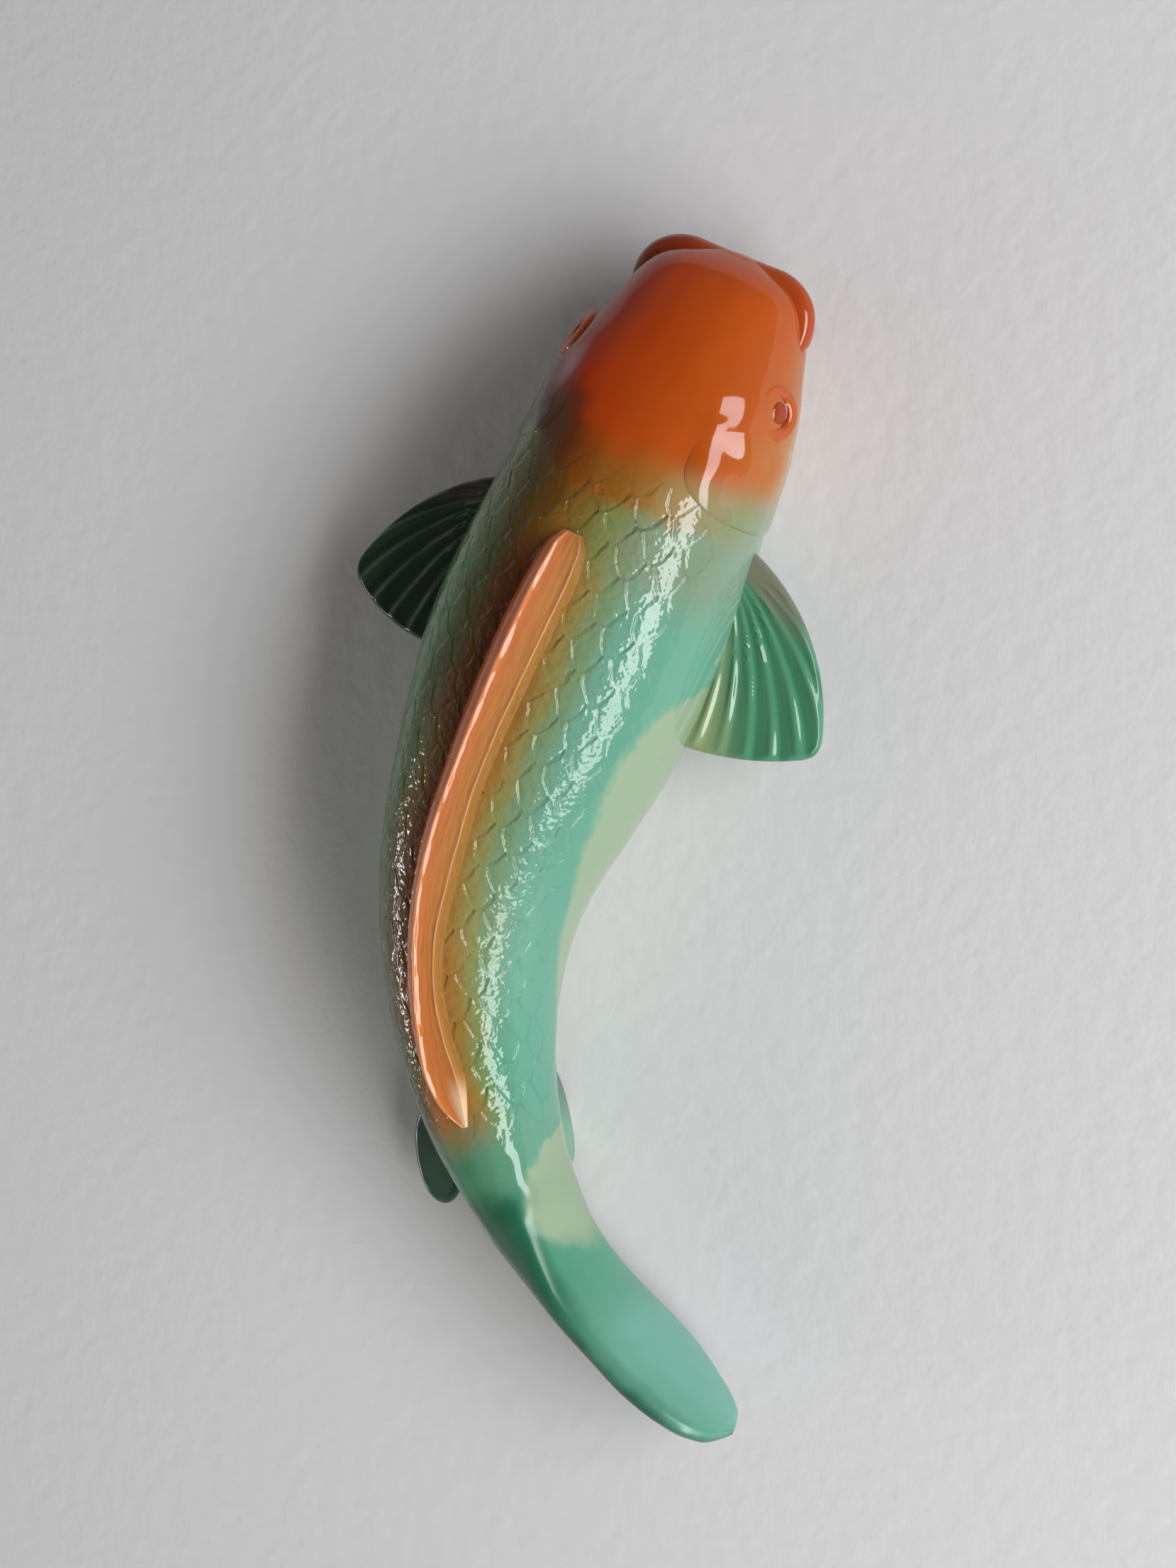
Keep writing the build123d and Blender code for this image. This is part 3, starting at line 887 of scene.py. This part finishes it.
# Along the ridge, over its length: left foot, left rim, right rim, right foot, and the heights
# of the left and the right rim, in mm
ridge_rows = np.array([
    (0.000, -2.0, -0.6, 1.6, 2.0, 0.5, 0.4),
    (0.020, -3.3, -1.0, 2.9, 3.3, 2.1, 1.6),
    (0.050, -4.0, -1.1, 3.4, 4.1, 2.9, 2.1),
    (0.140, -5.0, -1.5, 3.3, 4.0, 3.3, 2.2),
    (0.250, -5.4, -1.8, 2.8, 3.5, 3.3, 2.3),
    (0.330, -5.4, -1.9, 2.3, 3.0, 3.3, 2.3),
    (0.430, -5.2, -2.0, 2.1, 2.8, 3.3, 2.3),
    (0.520, -5.1, -2.1, 2.5, 3.2, 3.3, 2.3),
    (0.600, -5.0, -2.1, 2.1, 2.8, 3.3, 2.3),
    (0.680, -5.1, -2.1, 1.2, 1.9, 3.3, 2.4),
    (0.770, -5.2, -2.2, 0.9, 1.6, 3.2, 2.4),
    (0.850, -5.0, -2.6, 1.4, 2.1, 3.0, 2.2),
    (0.920, -4.3, -2.8, 2.0, 2.7, 2.4, 1.8),
    (0.970, -2.6, -1.8, 1.2, 1.6, 1.3, 1.0),
    (1.000, -0.5, -0.3, 0.2, 0.6, 0.3, 0.2),
])
ridge_points = 260
ridge_columns = 72
under_step = 6
share = np.linspace(0, 1, ridge_points)
ridge_stations = dorsal_front + share * (dorsal_rear - dorsal_front)
ridge = curve_through(ridge_rows[:, 0], ridge_rows[:, 1:], share) / 1000
profile = np.linspace(0, 1, ridge_columns)
left_face, right_face = 0.3, 0.8
knots = np.array([0, left_face, right_face, 1])
side = np.stack([np.interp(profile, knots, row[:4]) for row in ridge])
rim_level = np.stack([np.interp(profile, knots, (row[4], row[4], row[5], row[5])) for row in ridge])
climb = np.interp(profile, knots, (0, 1, 1, 0))
soft = np.sin(climb * math.pi / 2)
to_middle = 1 - ((profile - (left_face + right_face) / 2) / ((right_face - left_face) / 2)) ** 2
from_left, from_right = (profile - left_face) * rim_face, (profile - right_face) * rim_face
wavy = 1 + hand_share * np.sin(ridge_stations / hand_lengths[0]) * np.sin(ridge_stations / hand_lengths[1])
rims = np.exp(-((from_left / rim_width) ** 2)) + right_rim_share * np.exp(-((from_right / rim_width) ** 2))
relief = rim_height * rims * wavy[:, None] - dish_depth * np.clip(to_middle, 0, 1)
half_width, above, _, middle, _ = [size[:, None] for size in section_sizes(ridge_stations)]
over_back = np.clip(1 - np.abs(side / half_width) ** squareness, 0, 1) ** (1 / squareness)
back_level = middle + above * over_back
raised = rim_level + relief * np.clip(rim_level / rim_rise, 0, 1)
level = back_level + (middle + above - back_level + raised) * soft
x, y, turned = [value[:, None] for value in centre_line(ridge_stations)]
top_skin = np.stack([x + np.cos(turned) * side, y + np.sin(turned) * side, level], axis=-1)
under = top_skin[:, ::-under_step].copy()
under[..., 2] = back_level[:, ::-under_step] - dorsal_sunk
spread = np.hstack([np.broadcast_to(profile, side.shape), np.ones(under.shape[:2])])
dorsal = solid("dorsal_ridge", np.hstack([top_skin, under]), on_surface(ridge_stations, spread))
dorsal_glaze, tree = new_material("orange ridge glaze")
along_ridge, across_ridge = surface_place(tree)
# A ramp reads its stops in millimetres, so at a tenth of the share a stop of 12 is 12% across
across_hundredths = 0.1 * across_ridge
ridge_shade = ramp(across_hundredths, [
    (0, 186, 84, 26), (12, 206, 108, 54), (27, 206, 116, 68), (31, 220, 140, 94), (38, 204, 120, 70),
    (60, 202, 132, 74), (76, 206, 138, 78), (80, 216, 156, 100), (85, 156, 108, 46), (100, 150, 104, 42),
])
deeper = ramp(across_hundredths, [
    (0, 232, 128, 48), (12, 228, 132, 64), (27, 206, 116, 60), (31, 216, 140, 80), (38, 200, 118, 60),
    (60, 196, 116, 58), (76, 198, 122, 62), (80, 212, 150, 80), (85, 166, 108, 46), (100, 158, 108, 46),
])
brushed = {"X": along_ridge * streak_scale[0], "Y": across_ridge * streak_scale[1]}
brushed = make(tree, "ShaderNodeCombineXYZ", brushed).outputs[0]
streaks = noise(tree, scale=1.0, detail=1.0, place=brushed)
ridge_shade = lay(fade(along_ridge, *deeper_along), ridge_shade, deeper)
# Painted highlight: cream over the right half of the ridge's tail end, on its paler glaze.
painted_end_highlight = fade(along_ridge, *end_highlight_along) * fade(across_ridge, *end_highlight_across)
glaze(tree, lay(painted_end_highlight, ridge_shade, colour(226, 192, 152)), streaks, streak_depth)
dorsal.data.materials.append(dorsal_glaze)
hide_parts("dorsal_fin")
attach(dorsal, "root")


# The two pectoral fins are pressed fans with rays, luted to the flanks behind the gill covers.
# The right one is bright green with a grey leading edge. The left one is painted nearly black:
# its green is darkened as painted shade, for the shadow of the body that it lies in.
pectoral_height = 0.0145
pectoral_sunk = 0.0047
pectoral_lead = 0.019
pectoral_droop = math.radians(5)
pectoral_thickness = 0.0024
pectoral_corner = 0.003
pectoral_shoulder = (0.01716, 0.0085)
pectoral_tip = (0.026, -0.0083)
pectoral_trail = (0.01404, -0.0139)
pectoral_centre = (0.006, 0.002)
pectoral_loops = 44
# Station of each fin's root, and how long the root is
pectoral_roots = {"right": (0.062, 0.035), "left": (0.066, 0.032)}
fin_edge = 0.0011
arc_points = 150
root_points = 60
loop_power = 1.9
ray_depth = 0.00046
ray_count = 46
ray_sharpness = 2.2
ray_centre = (-0.002, 0.016)
ray_start = 0.006
ray_curl = 9.0
ray_uneven = 0.3
ray_beat = 0.0023
ray_wave = 9.0
ray_clear = 0.0016
tip_round_share = 0.28
tip_aim = (0.006, 0.0)
tip_span = 0.0217
valley_share = 0.7
valley_fades = (0.2, -1.0)
lead_turn = (1.0, 1.25)
lead_out = (0.02, 0.009)
root_lean = 0.45
root_out = (0.01, 0.0)


def flank_reach(station, height):
    """How far the flank stands out from the centre line at that height."""
    half_width, above, below, middle, _ = section_sizes(np.array([station]))
    half = above if height > middle[0] else below
    return float((half_width * (1 - np.abs((height - middle) / half) ** squareness) ** (1 / squareness))[0])


def seat(station, side, reach, height, droop):
    """Frame of a fin on one flank: its origin, outwards and down along it, towards the snout,
    and its upper face."""
    x, y, turned = [float(value[0]) for value in centre_line(np.array([station]))]
    right = np.array([math.cos(turned), math.sin(turned), 0])
    ahead = np.array([-math.sin(turned), math.cos(turned), 0])
    outwards = side * math.cos(droop) * right - math.sin(droop) * np.array([0, 0, 1.0])
    return np.array([x, y, height]) + side * reach * right, outwards, ahead, side * np.cross(outwards, ahead)


def arc_through(first, second, third, count):
    """Evenly spaced points on the circle arc through three points, each taken as a complex
    number. Its centre is where the lines that halve two of the chords at right angles cross."""
    start, way, end = complex(*first), complex(*second), complex(*third)
    share = (end - start) / (way - start)
    centre = start + (way - start) * (share - abs(share) ** 2) / (2j * share.imag)
    sense = 1 if share.imag > 0 else -1
    turn = sense * np.angle((end - centre) / (start - centre)) % (2 * math.pi)
    points = centre + (start - centre) * np.exp(1j * sense * np.linspace(0, turn, count))
    return np.stack([points.real, points.imag], axis=1)


def rolled_edge(inside, width):
    """Share of the full thickness at a distance inside an edge that closes as a quarter ellipse."""
    return np.sqrt(1 - (1 - np.clip(inside / width, 0, 1)) ** 2)


def leaf(name, outline, centre, frame_of_leaf, thickness, loops, relief=None):
    """Flat piece inside an outline: loops shrink from the outline to a centre on both faces. Its
    thickness closes at the outline as a quarter ellipse, and relief raises the faces."""
    origin, first, second, normal = frame_of_leaf
    shrink = 1 - (1 - np.linspace(0, 1, loops)) ** loop_power
    flat = centre + shrink[:, None, None] * (outline - centre)
    spans = np.linalg.norm(outline - centre, axis=1)
    inside = (1 - shrink)[:, None] * spans
    half = thickness / 2 * rolled_edge(inside, fin_edge)
    raised = relief(flat, inside) if relief else 0
    flat = np.concatenate([flat, flat[-2::-1]])
    rise = np.concatenate([half + raised, (-half - raised)[-2::-1]])
    points = origin + flat[..., :1] * first + flat[..., 1:] * second + rise[..., None] * normal
    return solid(name, points, flat, sharp=60.0)


def fin_rays(flat, inside):
    """Height of the rays on a fan: rounded crests that spread from a point at the root, start a
    little way out and stop short of the edge."""
    out, ahead = flat[..., 0] - ray_centre[0], flat[..., 1] - ray_centre[1]
    turn = np.arctan2(out, -ahead)
    far = np.hypot(out, ahead)
    crest = (0.5 + 0.5 * np.cos((turn + ray_curl * far) * ray_count)) ** ray_sharpness
    uneven = 1 + ray_uneven * np.sin(far / ray_beat + ray_wave * turn)
    fades = ease(ray_start, ray_start * 2, far) * ease(0, ray_clear, inside)
    return ray_depth * (crest * uneven - 0.5) * fades


def pectoral(name, side, station, root_length):
    """One pectoral fin: the outline of its fan, rounded at the tip, on its frame."""
    reach = flank_reach(station, pectoral_height) - pectoral_sunk
    base = seat(station, side, reach, pectoral_height, pectoral_droop)
    front, rear, tip = (0, pectoral_lead), (0, pectoral_lead - root_length), pectoral_tip
    leading = arc_through(front, pectoral_shoulder, tip, arc_points)
    trailing = arc_through(tip, pectoral_trail, rear, arc_points)
    rough = np.concatenate([leading, trailing[1:], np.linspace(rear, front, root_points)[1:-1]])
    pull = np.clip(1 - np.linalg.norm(rough - tip, axis=1) / pectoral_corner, 0, 1)[:, None] ** 2
    inwards = (np.array(tip_aim) - tip) / tip_span
    outline = rough + pull * tip_round_share * pectoral_corner * inwards
    return leaf(name, outline, np.array(pectoral_centre), base, pectoral_thickness, pectoral_loops, fin_rays)


# The left fin's colours are darkened as painted shade. The right fin's are its own glaze.
fin_colours_and_painted_shade = {
    "right": ((82, 144, 112), (54, 118, 86), (122, 124, 104), (142, 160, 114)),
    "left": ((34, 64, 44), (18, 38, 20), (66, 60, 44), (34, 52, 36)),
}
for hand, side in (("right", 1), ("left", -1)):
    piece = pectoral(f"pectoral_fan_{hand}", side, *pectoral_roots[hand])
    middle_shade, dark_shade, lead_shade, root_shade = [colour(*shade) for shade in fin_colours_and_painted_shade[hand]]
    material, tree = new_material(f"{hand} fin glaze")
    out, ahead = surface_place(tree)
    out_from, back_from = out - ray_centre[0], ray_centre[1] - ahead
    turn = maths("ARCTAN2", out_from, back_from)
    far = maths("SQRT", out_from * out_from + back_from * back_from)
    crest = maths("COSINE", (turn + ray_curl * far) * ray_count)
    shade = lay(valley_share * fade(crest, *valley_fades), middle_shade, dark_shade)
    shade = lay(fade(turn, *lead_turn) * fade(out, *lead_out), shade, lead_shade)
    shade = lay(fade(out + root_lean * ahead, *root_out), shade, root_shade)
    glaze(tree, shade)
    piece.data.materials.append(material)
    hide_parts(f"pectoral_fin_{hand}")
    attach(piece, "root")


# The two pelvic fins are small lobes low on the flanks, near the stalk of the tail. They are
# pressed from the same clay and lie back against the body.
pelvic_height = 0.0102
pelvic_lobe = (0.0045, -0.009)
pelvic_half = (0.0054, 0.009)
pelvic_splay = math.radians(8)
pelvic_thickness = 0.002
pelvic_loops = 20
pelvic_points = 160
pelvic_fades = (-0.004, -0.013)


def round_turn(count):
    """Evenly spaced angles once round."""
    return np.linspace(0, 2 * math.pi, count, endpoint=False)


turn = round_turn(pelvic_points)
lobe = np.stack([pelvic_half[0] * np.cos(turn), pelvic_half[1] * np.sin(turn)], axis=1)
twist = np.array([
    (math.cos(pelvic_splay), math.sin(pelvic_splay)), (-math.sin(pelvic_splay), math.cos(pelvic_splay)),
])
lobe = lobe @ twist + pelvic_lobe
# The left lobe's greens are darkened as painted shade, for the shadow of the body on that side.
lobe_colours_and_painted_shade = {"right": ((104, 160, 132), (60, 116, 88)), "left": ((26, 76, 54), (14, 50, 34))}
for hand, side, station, sunk, droop in (
    ("right", 1, 0.1464, 0.0029, math.radians(96)),
    ("left", -1, 0.1486, 0.0012, math.radians(20)),
):
    base = seat(station, side, flank_reach(station, pelvic_height) - sunk, pelvic_height, droop)
    piece = leaf(f"pelvic_lobe_{hand}", lobe, np.array(pelvic_lobe), base, pelvic_thickness, pelvic_loops)
    material, tree = new_material(f"{hand} lobe glaze")
    _, ahead = surface_place(tree)
    near, far = [colour(*shade) for shade in lobe_colours_and_painted_shade[hand]]
    glaze(tree, lay(fade(ahead, *pelvic_fades), far, near))
    piece.data.materials.append(material)
    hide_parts(f"pelvic_fin_{hand}")
    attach(piece, "root")


# The eyes are pellets pressed on the cheeks, each with a raised ring round a domed pupil. They
# are sprayed over in the orange of the head.
eye_station = 0.022
eye_height = 0.021
eye_sink = {"right": 0.0009, "left": 0.0001}
eye_raise = math.radians(29)
eye_toe_in = math.radians(18)
# Radius and height of the pellet's outline, from its peg to the middle of the pupil, in mm
eye_outline = np.array([
    (1.2, -2.1), (2.2, -2.1), (4.4, -1.9), (4.8, -1.4), (4.8, -0.2), (4.68, 0.35), (4.35, 0.75), (3.95, 0.95),
    (3.5, 1.0), (3.0, 0.93), (2.6, 0.75), (2.3, 0.52), (2.1, 0.45), (1.9, 0.62), (1.65, 0.92), (1.2, 1.18),
    (0.6, 1.3), (0.15, 1.32),
]) / 1000
eye_columns = 72
eye_rings = 110
eye_girth = 0.004
pupil_edge = (0.0028, 0.0023)
turn = round_turn(eye_columns)
steps = np.linspace(0, len(eye_outline) - 1, eye_rings)
smooth_outline = curve_through(np.arange(len(eye_outline), dtype=float), eye_outline, steps)
eye_glaze, tree = new_material("orange eye glaze")
radius_there, _ = surface_place(tree)
glaze(tree, lay(fade(radius_there, *pupil_edge), colour(178, 82, 30), colour(146, 54, 16)))
for hand, side in (("right", 1), ("left", -1)):
    reach = flank_reach(eye_station, eye_height) - eye_sink[hand]
    origin, outwards, ahead, _ = seat(eye_station, side, reach, eye_height, 0.0)
    level = outwards * math.cos(eye_toe_in) + ahead * math.sin(eye_toe_in)
    axis = level * math.cos(eye_raise) + np.array([0, 0, math.sin(eye_raise)])
    first = np.cross(axis, (0, 0, 1))
    first /= np.linalg.norm(first)
    second = np.cross(axis, first)
    radius, rise = smooth_outline[:, :1, None], smooth_outline[:, 1:, None]
    around_axis = np.cos(turn)[None, :, None] * first + np.sin(turn)[None, :, None] * second
    points = origin + rise * axis + radius * around_axis
    places = on_surface(smooth_outline[:, 0], turn * eye_girth)
    piece = solid(f"eye_pellet_{hand}", points, places, sharp=60.0)
    piece.data.materials.append(eye_glaze)
    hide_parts(f"eye_{hand}")
    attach(piece, "root")


# The gill covers are thin plates laid over the cheeks, with a straight rear edge that stands
# proud of the body behind it.
gill_middle = 0.0335
gill_half_length = 0.0079
gill_angle = 0.26
gill_half_angle = 0.8
gill_rise = 0.0005
gill_sunk = 0.0012
gill_edge = 0.002
gill_swell = 0.006
gill_power = 2.6
gill_skin = 0.00002
gill_reach = 0.009
gill_lead_share = 0.8
gill_points = 200
gill_loops = 26
gill_loop_power = 1.8
gill_rows = 16
gill_arc = 300
slope_length = 1e-4
slope_angle = 0.01


def cheek_points(station, angle):
    """Points on the cheek, at any stations and angles."""
    return on_section(station.ravel(), angle.ravel()[:, None])[:, 0].reshape(*station.shape, 3)


turn = round_turn(gill_points)
shrink = 1 - (1 - np.linspace(0, 1, gill_loops)) ** gill_loop_power
along_plate, up_plate = rounded(np.cos(turn), 2 / gill_power), rounded(np.sin(turn), 2 / gill_power)
inside = (1 - shrink)[:, None] * gill_reach
for hand, side in (("right", 1), ("left", -1)):
    station = gill_middle + shrink[:, None] * gill_half_length * along_plate
    angle = gill_angle + shrink[:, None] * gill_half_angle * up_plate
    angle = angle if side > 0 else math.pi - angle
    slope_along = cheek_points(station + slope_length, angle) - cheek_points(station - slope_length, angle)
    slope_up = cheek_points(station, angle + slope_angle) - cheek_points(station, angle - slope_angle)
    normal = np.cross(slope_up, slope_along)
    normal /= np.linalg.norm(normal, axis=2, keepdims=True)
    closing = rolled_edge(inside, gill_edge)
    base = cheek_points(station, angle)
    lead_in = ease(gill_middle - gill_half_length, gill_middle + gill_lead_share * gill_half_length, station)
    swell = np.sin(np.clip(inside / gill_swell, 0, 1) * math.pi / 2) ** 2
    lift = closing * lead_in + swell * (1 - lead_in)
    top_face = base + normal * (gill_rise * lift - gill_skin)[..., None]
    under = base - normal * (closing * gill_sunk)[..., None]
    fine_angles = np.linspace(math.pi / 2, -math.pi / 2, gill_arc)
    fine_angles = fine_angles if side > 0 else math.pi - fine_angles
    rows = np.linspace(gill_middle - gill_half_length, gill_middle + gill_half_length, gill_rows)
    mean_run = run_along(on_section(rows, np.broadcast_to(fine_angles, (gill_rows, gill_arc)))).mean(axis=0)
    order = np.argsort(fine_angles)
    girth = side * np.interp(angle, fine_angles[order], mean_run[order])
    surface = np.stack([station, girth], axis=-1)
    points = np.concatenate([top_face, under[-2::-1]])
    piece = solid(f"gill_plate_{hand}", points, np.concatenate([surface, surface[-2::-1]]), sharp=60.0)
    material, tree = new_material(f"{hand} gill cover glaze")
    painted = use_group(paint, *surface_place(tree))[0]
    glaze(tree, painted, noise(tree, dent_scale, detail=0.0), cheek_depth)
    piece.data.materials.append(material)
    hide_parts(f"gill_cover_{hand}")
    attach(piece, "root")


# The lips are two rolls of clay bent round the snout. They thin towards their ends, where they
# are smoothed into the cheeks.
lip_front = 0.0027
lip_corner = 0.0075
lip_end = 0.0168
mouth_dive = 0.0076
lip_columns = 40
lip_thinning = 0.7
lip_thins = (0.5, 1.0)
lip_fuller = 0.22
fuller_middle = -0.014
fuller_reach = 0.006
path_points = 40
side_points = 16
lip_glaze, tree = new_material("orange lip glaze")
along_lip, _ = surface_place(tree)
# Stops below zero run round the fish's left. Their dark red-brown is partly painted shade, for the side
# turned from the window.
glaze(tree, ramp(along_lip, [
    (-34, 78, 24, 8), (-20, 104, 28, 8), (-11, 140, 50, 16), (0, 176, 80, 30), (14, 170, 68, 24),
    (30, 158, 56, 18),
]))
# Height of the middle of each roll, and its radius
for name, height, fat in (("upper_lip", 0.0146, 0.0024), ("lower_lip", 0.0092, 0.002)):
    reach = flank_reach(mouth_dive, height)
    half_front = reach - lip_corner
    bend = np.linspace(0, math.pi / 2, path_points)
    ahead_path = np.stack([np.linspace(0, half_front, path_points), np.full(path_points, lip_front)], axis=1)
    corner_path = np.stack([
        half_front + lip_corner * np.sin(bend), lip_front + lip_corner * (1 - np.cos(bend))
    ], axis=1)
    rear = np.linspace(lip_front + lip_corner, lip_end, side_points)
    side_path = np.stack([np.full(side_points, reach), rear], axis=1)
    half_path = np.concatenate([ahead_path, corner_path[1:], side_path[1:]])
    path = np.concatenate([half_path[:0:-1] * (-1, 1), half_path])
    lengths = run_along(path)
    lengths -= lengths[-1] / 2
    thin = 1 - lip_thinning * ease(*lip_thins, np.abs(lengths) / lengths[-1])
    thin = thin * (1 + lip_fuller * np.exp(-(((lengths - fuller_middle) / fuller_reach) ** 2)))
    tangent = np.gradient(path, axis=0)
    tangent /= np.linalg.norm(tangent, axis=1, keepdims=True)
    sideways = np.stack([-tangent[:, 1], tangent[:, 0]], axis=1)
    turn = round_turn(lip_columns)
    spread = path[:, None] + sideways[:, None] * (fat * thin[:, None] * np.cos(turn))[..., None]
    up = height + fat * thin[:, None] * np.sin(turn)
    x, y, turned = [float(value[0]) for value in centre_line(np.array([0.0]))]
    right = np.array([math.cos(turned), math.sin(turned)])
    behind = np.array([math.sin(turned), -math.cos(turned)])
    flat = np.array([x, y]) + spread[..., :1] * right + spread[..., 1:] * behind
    points = np.concatenate([flat, up[..., None]], axis=-1)
    piece = solid(f"{name}_roll", points, on_surface(lengths, turn * fat), sharp=60.0)
    piece.data.materials.append(lip_glaze)
    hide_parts(name)
    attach(piece, "root")
